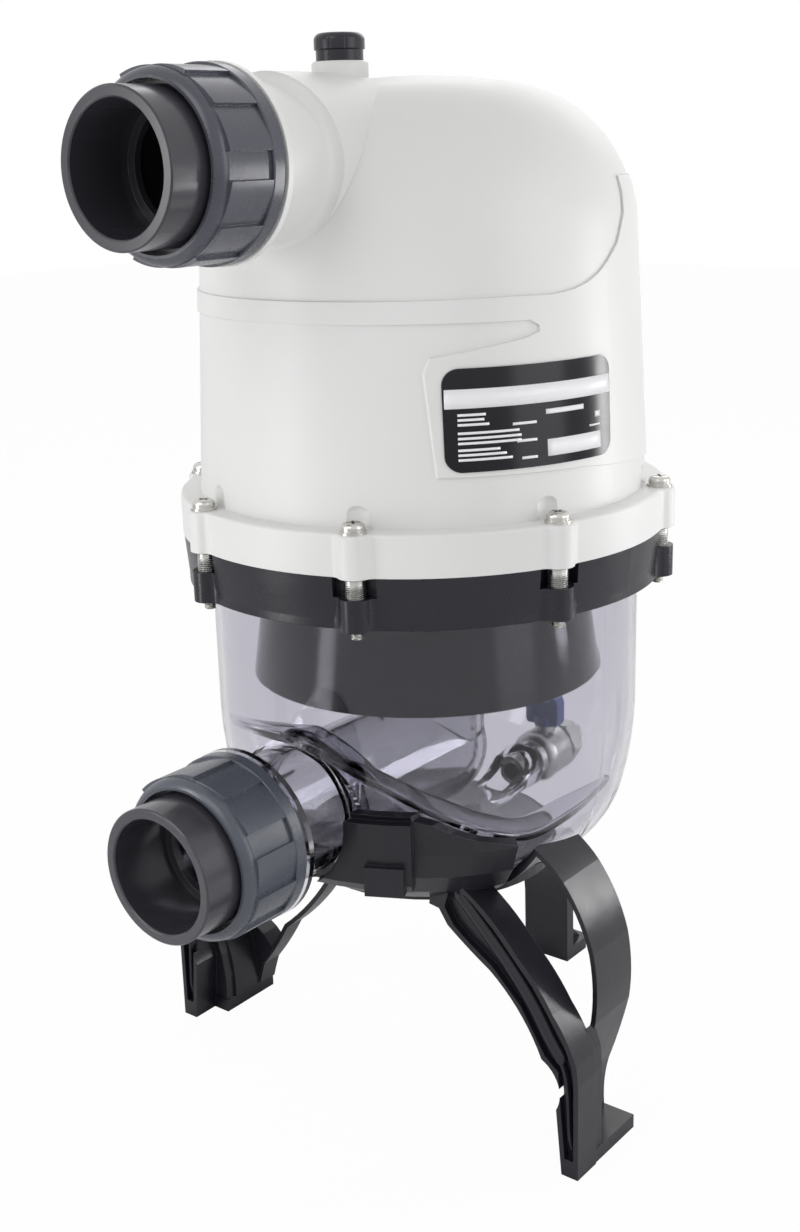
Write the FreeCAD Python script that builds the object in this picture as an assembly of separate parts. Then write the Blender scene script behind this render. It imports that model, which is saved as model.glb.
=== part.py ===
import FreeCAD
import Part
import math
import os
from FreeCAD import Vector

os.makedirs("parts", exist_ok=True)

# Frame: body axis on Z, floor at z = 0, both ports point along -Y. Sizes in mm.

# Driving dimensions
PIPE_OD = 63.0
BOWL_R = 127.7
BOWL_WALL = 4.0
BOWL_LIP = 4.3
BOLT_EDGE = 8.5
BOLT_COUNT = 8
UPPER_REACH = 94.0
LOWER_REACH = 102.0
HUB_FLOOR = 140.0
HUB_GAP = 2.82738

# Radii that follow from the bowl
STACK_R = BOWL_R + BOWL_LIP
BOLT_RADIUS = STACK_R + BOLT_EDGE
UPPER_MOUTH = STACK_R + UPPER_REACH
LOWER_MOUTH = STACK_R + LOWER_REACH

# Pipe unions
SOCKET_IN = PIPE_OD / 2
SOCKET_OUT = SOCKET_IN + 6.0
SOCKET_DEPTH = 37.5
SHOULDER_BORE = 27.0
COLLAR_R = 42.5
THREAD_R = 43.5
NUT_RIM_R = 48.0
NUT_BODY_R = 46.0
NUT_HOLE_R = 40.0
NUT_LENGTH = 42.0
PORT_BORE = 31.0

# Clamped joint between head and bowl
HEAD_FLANGE_R = BOLT_RADIUS + 2.8
HEAD_FLANGE_T = 23.3
LUG_R = 9.0
RIM_T = 5.0
BOWL_FLANGE_T = 10.0
RING_GAP = 0.5
SCREW_R = 3.0
SEAL_R = STACK_R - 3.8

# Inside
CHAMBER_R = STACK_R - 14.0
PLATE_SCREW_R = CHAMBER_R - 7.5
CYCLONES = 12
CYCLONE_PITCH_R = 74.0
CYCLONE_R = 18.0
RISER_R = 35.0
RISER_WALL = 4.5
SKIRT_R = 98.0

# Drain valve
DRAIN_BOSS_END = BOWL_R - 17.2
VALVE_Y = DRAIN_BOSS_END + 27.5
BALL_R = 9.5
DRAIN_BORE = 6.5
STEM_R = 3.5
NIPPLE_R = 10.5
SEAT_R = 10.0
VALVE_R = 19.0
HANDLE_SEAT = 21.8
HANDLE_HALF = 13.5

# Bleed plug
BLEED_Y = -63.0

# Wall and dome of the head
WALL_OUT = [(STACK_R - 0.6, 0), (STACK_R - 8.51, 148.4)]
HEAD_WALL = 5.5
SHOULDER_R = 79.2
SHOULDER_END = 78.5
SKIN = 1.3
PORT_R = 39.2
PORT_STEP_R = 44.5
PORT_STEP_FRONT = STACK_R - 8.5
PORT_FILLET = 5.2

# Foot of the bowl: two bends and a shallow bottom
BOWL_BEND_Z = -130.5
BOWL_SIDE_R = 216.6
BOWL_SIDE_END = 14.5
BOWL_FOOT_R = 57.6
BOWL_FOOT_END = 79.0
FIT = 0.05

# Stand
ARM_FRONT = -76.0
ARM_BACK = -56.0
ARC_FRONT = -50.0
ARCH_FRONT = -27.0
REAR_BACK = -12.0
LEG_HALF = 18.0
LEG_FRONT = 135.0
SHEET = 3.0
PAD_T = 8.6
CRADLE_GAP = 2.0
CRADLE_WALL = 5.0
SADDLE_R = 42.0
HUB_DATUM = 237.0
POST_SEAT = HUB_FLOOR - 3.0


def up(z):
    """Height over the floor of a point given from the flange's top face."""
    return FLANGE_Z + z


def stand_up(z):
    """Height over the floor of a point of the stand, drawn with the hub's floor at minus HUB_DATUM."""
    return HUB_FLOOR + HUB_DATUM + z


class Arcs(list):
    """Points joined by circular arcs, each through three of them in turn."""


def edges_of(points, place):
    """Turn a list of corners into edges; a nested list is a smooth curve."""
    out = []
    last = None
    for item in points:
        run = item if isinstance(item, list) else [item]
        vecs = [place(p) for p in run]
        if last is not None and (last - vecs[0]).Length > 1e-6:
            out.append(Part.makeLine(last, vecs[0]))
        if isinstance(item, Arcs):
            for i in range(0, len(vecs) - 2, 2):
                a, b, c = vecs[i:i + 3]
                if (b - a).cross(c - a).Length < 0.02 * (c - a).Length:
                    out.append(Part.makeLine(a, c))
                else:
                    out.append(Part.Arc(a, b, c).toShape())
            if len(vecs) % 2 == 0:
                out.append(Part.makeLine(vecs[-2], vecs[-1]))
        elif len(vecs) > 1:
            curve = Part.BSplineCurve()
            curve.interpolate(vecs)
            out.append(curve.toShape())
        last = vecs[-1]
    first = out[0].valueAt(out[0].FirstParameter)
    if (last - first).Length > 1e-6:
        out.append(Part.makeLine(last, first))
    return out


def face_of(points, place):
    return Part.Face(Part.Wire(edges_of(points, place)))


def lathe(points):
    """Solid of revolution about the body axis from (radius, z) points."""
    face = face_of(points, lambda p: Vector(p[0], 0, p[1]))
    return face.revolve(Vector(0, 0, 0), Vector(0, 0, 1), 360)


def lathe_port(points, zc):
    """Solid of revolution about a port axis from (distance, radius) points."""
    face = face_of(points, lambda p: Vector(0, -p[0], zc + p[1]))
    return face.revolve(Vector(0, 0, zc), Vector(0, -1, 0), 360)


def lathe_drain(points):
    """Solid of revolution about the drain axis from (y, radius) points."""
    face = face_of(points, lambda p: Vector(0, p[0], DRAIN_Z + p[1]))
    return face.revolve(Vector(0, 0, DRAIN_Z), Vector(0, 1, 0), 360)


def lathe_at(points, x, y):
    """Solid of revolution about an upright axis at x, y."""
    face = face_of(points, lambda p: Vector(x + p[0], y, p[1]))
    return face.revolve(Vector(x, y, 0), Vector(0, 0, 1), 360)


def port_cyl(r, a, b, zc):
    return Part.makeCylinder(r, b - a, Vector(0, -a, zc), Vector(0, -1, 0))


def drain_cyl(r, a, b):
    return Part.makeCylinder(r, b - a, Vector(0, a, DRAIN_Z), Vector(0, 1, 0))


def cyl(r, x, y, z0, z1):
    return Part.makeCylinder(r, z1 - z0, Vector(x, y, z0))


def box(x0, x1, y0, y1, z0, z1):
    return Part.makeBox(x1 - x0, y1 - y0, z1 - z0, Vector(x0, y0, z0))


def turned(shape, angle):
    out = shape.copy()
    out.rotate(Vector(0, 0, 0), Vector(0, 0, 1), angle)
    return out


def mirrored(shape):
    return shape.mirror(Vector(0, 0, 0), Vector(1, 0, 0))


def clean(shape):
    out = shape.removeSplitter()
    if len(out.Solids) == 1:
        return out.Solids[0]
    return Part.makeCompound(out.Solids)


def save(name, shape):
    solids = shape.Solids
    out = solids[0] if len(solids) == 1 else Part.makeCompound(solids)
    print(name, len(solids), "valid" if out.isValid() else "INVALID")
    out.exportStep("parts/" + name + ".step")


def bolt_points(count=BOLT_COUNT, radius=BOLT_RADIUS, first=22.5):
    out = []
    for i in range(count):
        a = math.radians(first + i * 360.0 / count)
        out.append((radius * math.sin(a), -radius * math.cos(a)))
    return out


def ring(r_out, r_in, z0, z1):
    return cyl(r_out, 0, 0, z0, z1).cut(cyl(r_in, 0, 0, z0 - 1, z1 + 1))


def lug_disc(r_disc, r_lug, z0, z1, blend):
    """Disc with half-round lugs on the bolt circle, blended at their roots."""
    out = cyl(r_disc, 0, 0, z0, z1)
    for x, y in bolt_points():
        out = out.fuse(cyl(r_lug, x, y, z0, z1))
    out = out.removeSplitter()
    roots = []
    for e in out.Edges:
        a, b = e.Vertexes[0].Point, e.Vertexes[-1].Point
        upright = abs(a.x - b.x) < 1e-6 and abs(a.y - b.y) < 1e-6
        if upright and abs(a.z - b.z) > 1 and math.hypot(a.x, a.y) < r_disc + 0.5:
            near = min(math.hypot(a.x - x, a.y - y) for x, y in bolt_points())
            if near < r_lug + 0.5:
                roots.append(e)
    return out.makeFillet(blend, roots)


def bends(r, z, first, steps, side, grow, parts=2):
    """Tangent arcs from r, z to the body axis; grow moves the line along its normal."""
    a = math.radians(first)
    size = steps[0][0]
    cr = r - size * math.cos(a)
    cz = z - side * size * math.sin(a)
    out = Arcs()
    runs = list(steps) + [(None, 90.0)]
    for i, (radius, last) in enumerate(runs):
        if i:
            radius = size + cr / math.cos(a) if radius is None else radius
            cr += (size - radius) * math.cos(a)
            cz += side * (size - radius) * math.sin(a)
        b = math.radians(last)
        for k in range(1 if i else 0, parts + 1):
            t = a + (b - a) * k / parts
            out.append((max(0.0, cr + (radius + grow) * math.cos(t)), cz + side * (radius + grow) * math.sin(t)))
        size = radius
        a = b
    out[-1] = (0.0, out[-1][1])
    return out


# Heights that follow from the depth of the bowl on its stand
FOOT_STEPS = [(BOWL_SIDE_R, BOWL_SIDE_END), (BOWL_FOOT_R, BOWL_FOOT_END)]
BOWL_DEPTH = -bends(BOWL_R, BOWL_BEND_Z, 0.0, FOOT_STEPS, -1, 0)[-1][1]
FLANGE_Z = HUB_FLOOR + HUB_GAP + BOWL_DEPTH
UPPER_PORT_Z = FLANGE_Z + 183.9
LOWER_PORT_Z = FLANGE_Z - 168.3
STACK_TOP = FLANGE_Z - 19.0
RING_BOTTOM = FLANGE_Z - 52.1
PLATE_BOTTOM = STACK_TOP - RIM_T
CHAMBER_TOP = FLANGE_Z + 6.0
DRAIN_Z = FLANGE_Z - 220.0
BLEED_TOP = FLANGE_Z + 234.0


# Head: drafted wall, dome, port boss and flange
def head_dome(grow):
    (r0, z0), (r1, z1) = WALL_OUT
    lean = math.degrees(math.atan2(r0 - r1, z1 - z0))
    return bends(r1, up(z1), lean, [(SHOULDER_R, SHOULDER_END)], 1, grow)


def head_body(extra):
    """Outer body of the head; extra thickens its skin."""
    return lathe([(0, up(0)), (WALL_OUT[0][0] + extra, up(0)), head_dome(extra)])


def head_cavity():
    t = HEAD_WALL
    dome = head_dome(-t)
    inner = WALL_OUT[0][0] - t - 0.5
    return lathe([(0, up(-24)), (inner, up(-24)), (inner, up(4)), dome])


def skin_mask():
    """Where the head's skin is raised: a belt and the label panel."""
    band = ring(STACK_R + 8, STACK_R - 22, up(104.5), up(116))
    right = [(39.2, 26.6), (37.8, 80), (39.5, 87.5), (56, 93), (63, 95.5), (66.4, 98), (66.4, 101), (64, 104),
             (39.5, 104.5), (39.5, 116), (60, 116.4), (70.5, 116), (77, 117.5), (81.5, 120), (86.5, 124.6),
             (90, 129.4), (95.5, 138.4), (100, 153), (101, 164), (100.8, 172.5), (128, 172.5), (128, 16),
             (105.8, 18.5), (78.3, 24.7), (63.4, 25.8), (50.9, 26.3)]
    mid = math.radians(84)
    vecs = []
    for az, z in right:
        t = 127.0 * math.sin(math.radians(az) - mid)
        vecs.append(Vector(t, 0, up(z)))
    face = Part.Face(Part.makePolygon(vecs + [vecs[0]]))
    prism = face.extrude(Vector(0, 7 - STACK_R, 0))
    prism.translate(Vector(0, -15, 0))
    prism = turned(prism, 84)
    return band.fuse(prism)


def port_boss():
    """Upper port: a short collar that ends on the wall's round, and the tube with its flange and spigot."""
    m = UPPER_MOUTH
    zc = UPPER_PORT_Z
    collar = port_cyl(PORT_STEP_R, 60, STACK_R + 8, zc).common(cyl(PORT_STEP_FRONT, 0, 0, zc - 80, zc + 80))
    tube = lathe_port([(60, 0), (60, PORT_R), (m - 69, PORT_R), (m - 69, NUT_RIM_R + 0.5), (m - 65.5, NUT_RIM_R + 0.5),
                       (m - 65.5, THREAD_R), (m - 42, THREAD_R), (m - 42, 0)], zc)
    boss = collar.fuse(tube)
    step = []
    for e in boss.Edges:
        far = 0.0
        for i in range(9):
            p = e.valueAt(e.FirstParameter + (e.LastParameter - e.FirstParameter) * i / 8.0)
            far = max(far, abs(math.hypot(p.x, p.z - zc) - PORT_R), abs(math.hypot(p.x, p.y) - PORT_STEP_FRONT))
        if far < 0.01:
            step.append(e)
    return boss.makeFillet(PORT_FILLET, step)


def make_head():
    outer = head_body(0).fuse(head_body(SKIN).common(skin_mask()))
    outer = outer.fuse(port_boss())
    bleed = lathe_at([(0, up(200)), (17, up(200)), (17, up(220)), (15, up(224)), (15, BLEED_TOP - 1),
                      (14, BLEED_TOP), (0, BLEED_TOP)], 0, BLEED_Y)
    outer = outer.fuse(bleed)
    flange = lug_disc(HEAD_FLANGE_R, LUG_R, up(-HEAD_FLANGE_T), up(0), 6.0)
    top = [e for e in flange.Edges if abs(e.BoundBox.ZMin - up(0)) < 1e-4 and abs(e.BoundBox.ZMax - up(0)) < 1e-4]
    flange = flange.makeFillet(1.8, top)
    body = outer.fuse(flange)
    pocket = cyl(11.5, 0, -BOLT_RADIUS, up(0), up(14))
    rim = [e for e in pocket.Edges if abs(e.BoundBox.ZMin - up(14)) < 1e-4 and e.BoundBox.XLength > 1]
    pocket = pocket.makeFillet(6.0, rim)
    for i in range(BOLT_COUNT):
        body = body.cut(turned(pocket, 22.5 + i * 360.0 / BOLT_COUNT))
    body = body.cut(head_cavity())
    body = body.cut(cyl(STACK_R + 0.3, 0, 0, up(-24), STACK_TOP))
    body = body.cut(ring(SEAL_R + 1.6, SEAL_R - 1.6, STACK_TOP - 1, STACK_TOP + 2.4))
    body = body.cut(port_cyl(PORT_BORE, 0, UPPER_MOUTH, UPPER_PORT_Z))
    body = body.cut(lathe_port([(UPPER_MOUTH - 44.6, 34), (UPPER_MOUTH - 44.6, 38), (UPPER_MOUTH - 41, 38),
                                (UPPER_MOUTH - 41, 34)], UPPER_PORT_Z))
    body = body.cut(cyl(9, 0, BLEED_Y, up(190), BLEED_TOP + 1))
    body = body.cut(lathe_at([(9, BLEED_TOP - 1.6), (11.6, BLEED_TOP - 1.6), (11.6, BLEED_TOP + 1), (9, BLEED_TOP + 1)],
                             0, BLEED_Y))
    for x, y in bolt_points():
        body = body.cut(cyl(SCREW_R + 0.3, x, y, up(-30), up(1)))
    return clean(body)


def make_label():
    """Plate bent round the raised panel of the head."""
    skin = head_body(SKIN + 0.7).cut(head_body(SKIN))
    half = 51.0
    face = box(-half, half, -STACK_R - 8, 42 - STACK_R, up(29), up(82))
    corners = [e for e in face.Edges if e.BoundBox.YLength > 10]
    face = face.makeFillet(8.5, corners)
    return clean(skin.common(turned(face, 65.5)))


def make_bleed_plug():
    plug = lathe_at([(0, BLEED_TOP - 10), (8, BLEED_TOP - 10), (8.9, BLEED_TOP - 9), (8.9, BLEED_TOP), (12.5, BLEED_TOP),
                     (12.5, BLEED_TOP + 5.5), (13.4, BLEED_TOP + 6.0),
                     Arcs([(13.4, BLEED_TOP + 10), (12.4, BLEED_TOP + 12.9), (9.5, BLEED_TOP + 14.2)]),
                     (0, BLEED_TOP + 14.8)],
                    0, BLEED_Y)
    for i in range(10):
        notch = cyl(0.9, 14.0, 0, BLEED_TOP + 6.0, BLEED_TOP + 16)
        notch.rotate(Vector(0, 0, 0), Vector(0, 0, 1), i * 36)
        notch.translate(Vector(0, BLEED_Y, 0))
        plug = plug.cut(notch)
    return clean(plug)


def make_bleed_seal():
    a, b = BLEED_TOP - 1.6, BLEED_TOP
    return lathe_at([(9.1, a), (11.5, a), (11.5, b), (9.1, b)], 0, BLEED_Y)


def make_clamp_ring():
    low = up(-34.5)
    bore = BOWL_R + RING_GAP
    body = lathe([(bore, RING_BOTTOM), (BOLT_RADIUS + 0.1, RING_BOTTOM), (BOLT_RADIUS + 2.5, up(-HEAD_FLANGE_T)),
                  (bore, up(-HEAD_FLANGE_T))])
    lugs = lug_disc(BOLT_RADIUS + 0.5, LUG_R - 0.4, RING_BOTTOM, low, 6.0)
    lugs = lugs.cut(cyl(BOLT_RADIUS - 4.5, 0, 0, RING_BOTTOM - 1, low + 1))
    body = body.fuse(lugs)
    body = body.cut(cyl(STACK_R + 0.3, 0, 0, STACK_TOP - RIM_T - BOWL_FLANGE_T, up(0)))
    window = box(-12, 12, -BOLT_RADIUS - 19.5, -(STACK_R + 2.9), low, up(-20))
    sleeve = insert_shape(0)
    for i in range(BOLT_COUNT):
        a = 22.5 + i * 360.0 / BOLT_COUNT
        body = body.cut(turned(window, a))
        body = body.cut(turned(sleeve, a))
        body = body.cut(turned(cyl(SCREW_R + 0.3, 0, -BOLT_RADIUS, RING_BOTTOM - 1, up(-30)), a))
    return clean(body)


def insert_shape(bore):
    """Threaded sleeve moulded into a lug of the clamp ring."""
    top, seat, foot = up(-24.1), up(-34.5), up(-48.0)
    sleeve = lathe_at([(bore, top), (4.9, top), (5.5, top - 0.6), (5.5, seat), (4.6, seat), (4.6, foot), (5.6, foot),
                       (5.6, foot - 2.0), (bore, foot - 2.0)], 0, -BOLT_RADIUS)
    return sleeve


def around(shape):
    out = []
    for i in range(BOLT_COUNT):
        out.append(turned(shape, 22.5 + i * 360.0 / BOLT_COUNT))
    return Part.makeCompound(out)


def pan_screw(r, head_r, head_h, z_top, z_end, x, y, cross):
    """Pan-head screw with a cross recess; z_top is the seat of its head."""
    s = lathe_at([(0, z_end), (r - 0.5, z_end), (r, z_end + 0.8), (r, z_top), (head_r, z_top),
                  (head_r, z_top + head_h * 0.45),
                  Arcs([(head_r, z_top + head_h * 0.45), (head_r * 0.86, z_top + head_h * 0.84),
                        (head_r * 0.55, z_top + head_h)]),
                  (0, z_top + head_h)], x, y)
    w = head_r * 0.11
    a = head_r * 0.58
    for turn in (cross, cross + 90):
        slot = box(-a, a, -w, w, z_top + head_h * 0.4, z_top + head_h + 1)
        slot.rotate(Vector(0, 0, 0), Vector(0, 0, 1), turn)
        slot.translate(Vector(x, y, 0))
        s = s.cut(slot)
    return s


def make_clamp_screws():
    s = pan_screw(SCREW_R, 6.2, 4.4, up(1.5), up(-54.4), 0, -BOLT_RADIUS, 20)
    return around(s)


def make_clamp_washers():
    w = lathe_at([(SCREW_R + 0.2, up(0)), (7.2, up(0)), (7.2, up(1.3)), (6.9, up(1.5)), (SCREW_R + 0.2, up(1.5))],
                 0, -BOLT_RADIUS)
    return around(w)


def make_head_seal():
    a, b, r = STACK_TOP, STACK_TOP + 2.4, SEAL_R
    return lathe([(r - 1.5, a), (r + 1.5, a), (r + 1.6, a + 0.6), (r + 1.6, b), (r - 1.6, b), (r - 1.6, a + 0.6)])


def make_bowl_seal():
    b = STACK_TOP - RIM_T
    a, r = b - 2.4, SEAL_R
    return lathe([(r - 1.6, a), (r + 1.6, a), (r + 1.6, b - 0.6), (r + 1.5, b), (r - 1.5, b), (r - 1.6, b - 0.6)])


# Bowl
def bowl_foot(grow, parts=2):
    """Outline of the bowl from its straight side to the axis, moved outwards by grow."""
    return bends(BOWL_R, up(BOWL_BEND_Z), 0.0, FOOT_STEPS, -1, grow, parts)


def make_bowl():
    top = STACK_TOP - RIM_T
    outer = lathe([(0, top), (STACK_R, top), (STACK_R, top - BOWL_FLANGE_T), (BOWL_R, top - BOWL_FLANGE_T),
                   bowl_foot(0)])
    inner = lathe([(0, top + 1), (BOWL_R - BOWL_WALL, top + 1), bowl_foot(-BOWL_WALL)])
    zc = LOWER_PORT_Z
    m = LOWER_MOUTH
    a = BOWL_R - 19.7
    neck = lathe_port([(a, 0), (a, 41), (a + 18, 41), (a + 18, 37.5), (m - 69, 37.5), (m - 69, NUT_RIM_R + 0.5),
                       (m - 65.5, NUT_RIM_R + 0.5), (m - 65.5, THREAD_R), (m - 42, THREAD_R), (m - 42, 0)], zc)
    shell = outer.cut(inner)
    keep = drain_cyl(17, 70, DRAIN_BOSS_END).cut(inner)
    body = shell.fuse(neck).fuse(keep)
    for a in (90, 210, 330):
        x, y = 45 * math.cos(math.radians(a)), 45 * math.sin(math.radians(a))
        post = cyl(6.5, x, y, POST_SEAT, POST_SEAT + 11.5)
        body = body.fuse(post)
    for a in (90, 210, 330):
        x, y = 45 * math.cos(math.radians(a)), 45 * math.sin(math.radians(a))
        body = body.cut(cyl(2.5, x, y, POST_SEAT - 1, POST_SEAT + 8.8))
    body = body.cut(port_cyl(PORT_BORE, BOWL_R - 27.7, m, zc))
    body = body.cut(port_cyl(36.5, BOWL_R - 27.7, BOWL_R - 7.7, zc))
    body = body.cut(lathe_port([(m - 44.6, 34), (m - 44.6, 38), (m - 41, 38), (m - 41, 34)], zc))
    body = body.cut(drain_cyl(8, 70, DRAIN_BOSS_END - 13.5))
    body = body.cut(drain_cyl(NIPPLE_R + FIT, DRAIN_BOSS_END - 17.5, DRAIN_BOSS_END + 1))
    body = body.cut(ring(SEAL_R + 1.6, SEAL_R - 1.6, top - 2.4, top + 1))
    return clean(body)


def make_elbow():
    zc = LOWER_PORT_Z
    r, t = 36.5, RISER_WALL
    outer = port_cyl(r, 0, BOWL_R - 7.7, zc).fuse(Part.makeSphere(r, Vector(0, 0, zc))).fuse(
        cyl(RISER_R, 0, 0, zc, PLATE_BOTTOM))
    inner = port_cyl(r - t - 0.5, 0, BOWL_R - 6.7, zc).fuse(Part.makeSphere(r - t - 0.5, Vector(0, 0, zc))).fuse(
        cyl(RISER_R - t, 0, 0, zc, PLATE_BOTTOM + 1))
    return clean(outer.cut(inner))


def make_skirt():
    t = 3.0
    z0, z1, z2 = PLATE_BOTTOM, up(-60), up(-112.7)
    return lathe([(SKIRT_R - t, z0), (SKIRT_R, z0), (SKIRT_R, z1), (105.7, z2), (105.7 - t, z2), (SKIRT_R - t, z1)])


def cyclone_points():
    return bolt_points(CYCLONES, CYCLONE_PITCH_R, 15.0)


def make_block():
    body = cyl(STACK_R, 0, 0, PLATE_BOTTOM, STACK_TOP)
    body = body.fuse(ring(CHAMBER_R, CHAMBER_R - 3, STACK_TOP - 1, CHAMBER_TOP))
    body = body.fuse(ring(SKIRT_R - 3, SKIRT_R - 5.5, PLATE_BOTTOM - 16, PLATE_BOTTOM + 1))
    body = body.fuse(ring(RISER_R + 5, RISER_R, PLATE_BOTTOM - 20, PLATE_BOTTOM + 1))
    for x, y in bolt_points(BOLT_COUNT, PLATE_SCREW_R, 0.0):
        body = body.fuse(cyl(5, x, y, STACK_TOP - 1, CHAMBER_TOP))
    r = CYCLONE_R
    outer = []
    inner = []
    for x, y in cyclone_points():
        outer.append(lathe_at([(0, STACK_TOP - 1), (r, STACK_TOP - 1), (r, up(-52)), (8, up(-108)), (0, up(-108))], x, y))
        inner.append(lathe_at([(0, STACK_TOP + 1), (r - 2.5, STACK_TOP + 1), (r - 2.5, up(-52)), (5.5, up(-108)),
                               (5.5, up(-109)), (0, up(-109))], x, y))
    for s in outer:
        body = body.fuse(s)
    for s in inner:
        body = body.cut(s)
    body = body.cut(cyl(RISER_R - RISER_WALL, 0, 0, PLATE_BOTTOM - 1, STACK_TOP + 1))
    for x, y in bolt_points(BOLT_COUNT, PLATE_SCREW_R, 0.0):
        body = body.cut(cyl(2, x, y, CHAMBER_TOP - 14, CHAMBER_TOP + 1))
    return clean(body)


def make_vortex_plate():
    body = cyl(CHAMBER_R, 0, 0, CHAMBER_TOP, CHAMBER_TOP + 4)
    for x, y in cyclone_points():
        body = body.fuse(cyl(8, x, y, up(-44), CHAMBER_TOP + 1))
    for x, y in cyclone_points():
        body = body.cut(cyl(6, x, y, up(-45), CHAMBER_TOP + 5))
    for x, y in bolt_points(BOLT_COUNT, PLATE_SCREW_R, 0.0):
        body = body.cut(cyl(2.2, x, y, CHAMBER_TOP - 1, CHAMBER_TOP + 5))
    return clean(body)


def make_plate_screws():
    out = []
    for x, y in bolt_points(BOLT_COUNT, PLATE_SCREW_R, 0.0):
        out.append(pan_screw(2.0, 3.8, 2.8, CHAMBER_TOP + 4, CHAMBER_TOP - 12, x, y, 15))
    return Part.makeCompound(out)


# Unions
def nut_section(turn):
    """Cross-section with twelve sawtooth ramps, six in each half."""
    edges = []
    lo, hi = NUT_BODY_R, NUT_RIM_R
    marks = []
    step = 164.0 / 6
    for side in (0, 1):
        for k in range(3):
            marks.append((180 * side + 8 + k * step, 180 * side + 8 + (k + 1) * step, hi, lo))
        for k in range(3, 6):
            marks.append((180 * side + 8 + k * step, 180 * side + 8 + (k + 1) * step, lo, hi))
        marks.append((180 * side + 172, 180 * side + 188, lo, lo))
    def at(r, a):
        a = math.radians(a + turn)
        return Vector(r * math.cos(a), 0, r * math.sin(a))
    last = None
    first = None
    for a, b, ra, rb in marks:
        p, q = at(ra, a), at(rb, b)
        m = at((ra + rb) / 2, (a + b) / 2)
        if first is None:
            first = p
        if last is not None and (last - p).Length > 1e-6:
            edges.append(Part.makeLine(last, p))
        edges.append(Part.Arc(p, m, q).toShape())
        last = q
    if (last - first).Length > 1e-6:
        edges.append(Part.makeLine(last, first))
    return Part.Face(Part.Wire(edges))


def make_nut(zc, mouth, turn):
    front = mouth - 22
    rear = front - NUT_LENGTH
    bore = THREAD_R + FIT
    body = lathe_port([(rear, bore), (rear, NUT_RIM_R - 0.6), (rear + 0.6, NUT_RIM_R), (rear + 7.4, NUT_RIM_R),
                       (rear + 8, NUT_RIM_R - 0.6), (rear + 8, NUT_BODY_R - 0.2), (front - 6, NUT_BODY_R - 0.2),
                       Arcs([(front - 6, NUT_BODY_R - 0.2), (front - 1.8, NUT_BODY_R - 1.8), (front, NUT_BODY_R - 4.4)]),
                       (front, NUT_HOLE_R), (front - 9, NUT_HOLE_R), (front - 9, bore)], zc)
    prism = nut_section(turn).extrude(Vector(0, -(NUT_LENGTH - 8 - 5.5), 0))
    prism.translate(Vector(0, -(rear + 7.9), zc))
    prism = prism.cut(port_cyl(NUT_BODY_R - 1.5, rear, front, zc))
    return clean(body.fuse(prism))


def make_tail(zc, mouth):
    seat = mouth - 42
    body = lathe_port([(seat, SHOULDER_BORE), (seat, COLLAR_R), (seat + 11, COLLAR_R), (seat + 11, SOCKET_OUT),
                       (mouth - 0.8, SOCKET_OUT), (mouth, SOCKET_OUT - 0.8), (mouth, SOCKET_IN + 0.8),
                       (mouth - 0.8, SOCKET_IN), (mouth - SOCKET_DEPTH, SOCKET_IN),
                       (mouth - SOCKET_DEPTH, SHOULDER_BORE)], zc)
    return clean(body)


def make_union_seal(zc, mouth):
    seat = mouth - 42
    return lathe_port([(seat - 2.6, 34.1), (seat - 2.6, 37.9), (seat, 37.9), (seat, 34.1)], zc)


# Drain valve
def hex_bar(af, a, b):
    r = af / math.sqrt(3)
    pts = []
    for i in range(7):
        t = math.radians(60 * i)
        pts.append(Vector(r * math.cos(t), a, DRAIN_Z + r * math.sin(t)))
    bar = Part.Face(Part.makePolygon(pts)).extrude(Vector(0, b - a, 0))
    c = lathe_drain([(a, 0), (a, r - 1.2), (a + 1.2, r + 0.2), (b - 1.2, r + 0.2), (b, r - 1.2), (b, 0)])
    return bar.common(c)


def make_nipple():
    y = VALVE_Y
    body = drain_cyl(NIPPLE_R, DRAIN_BOSS_END - 17.5, y - 12.2).cut(drain_cyl(DRAIN_BORE, 80, y))
    return clean(body)


def make_valve_body():
    y = VALVE_Y
    a = DRAIN_BOSS_END
    r = VALVE_R
    body = lathe_drain([(a, 0), (a, 13.6), (a + 1, 14.5), (a + 9, 14.5),
                        Arcs([(a + 9, 14.5), (a + 12, r - 1.2), (a + 16, r)]), (y + 9, r), (y + 13, r - 3),
                        (y + 14, r - 4.2), (y + 14, 0)])
    neck = cyl(7.5, 0, y, DRAIN_Z + 8, DRAIN_Z + HANDLE_SEAT - 0.3)
    body = body.fuse(neck)
    body = body.cut(drain_cyl(NIPPLE_R + FIT, a - 1, y - 12))
    body = body.cut(drain_cyl(DRAIN_BORE, a, y))
    body = body.cut(drain_cyl(SEAT_R + FIT, y - 7.5, y + 20))
    body = body.cut(cyl(STEM_R + FIT, 0, y, DRAIN_Z, DRAIN_Z + HANDLE_SEAT + 5))
    return clean(body)


def make_valve_end():
    y = VALVE_Y
    body = drain_cyl(SEAT_R, y + 9, y + 14).fuse(hex_bar(34, y + 14, y + 27))
    tip = lathe_drain([(y + 26, 0), (y + 26, 10.4), (y + 42, 10.4), (y + 43, 9.4), (y + 43, 0)])
    body = body.fuse(tip).cut(drain_cyl(DRAIN_BORE, y, y + 60))
    return clean(body)


def make_valve_seats():
    y = VALVE_Y
    ball = Part.makeSphere(BALL_R + 0.05, Vector(0, y, DRAIN_Z))
    a = drain_cyl(SEAT_R, y - 7.5, y - 3.5).cut(drain_cyl(DRAIN_BORE, y - 20, y)).cut(ball)
    b = drain_cyl(SEAT_R, y + 3.5, y + 9).cut(drain_cyl(DRAIN_BORE, y, y + 20)).cut(ball)
    return Part.makeCompound([a, b])


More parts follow.
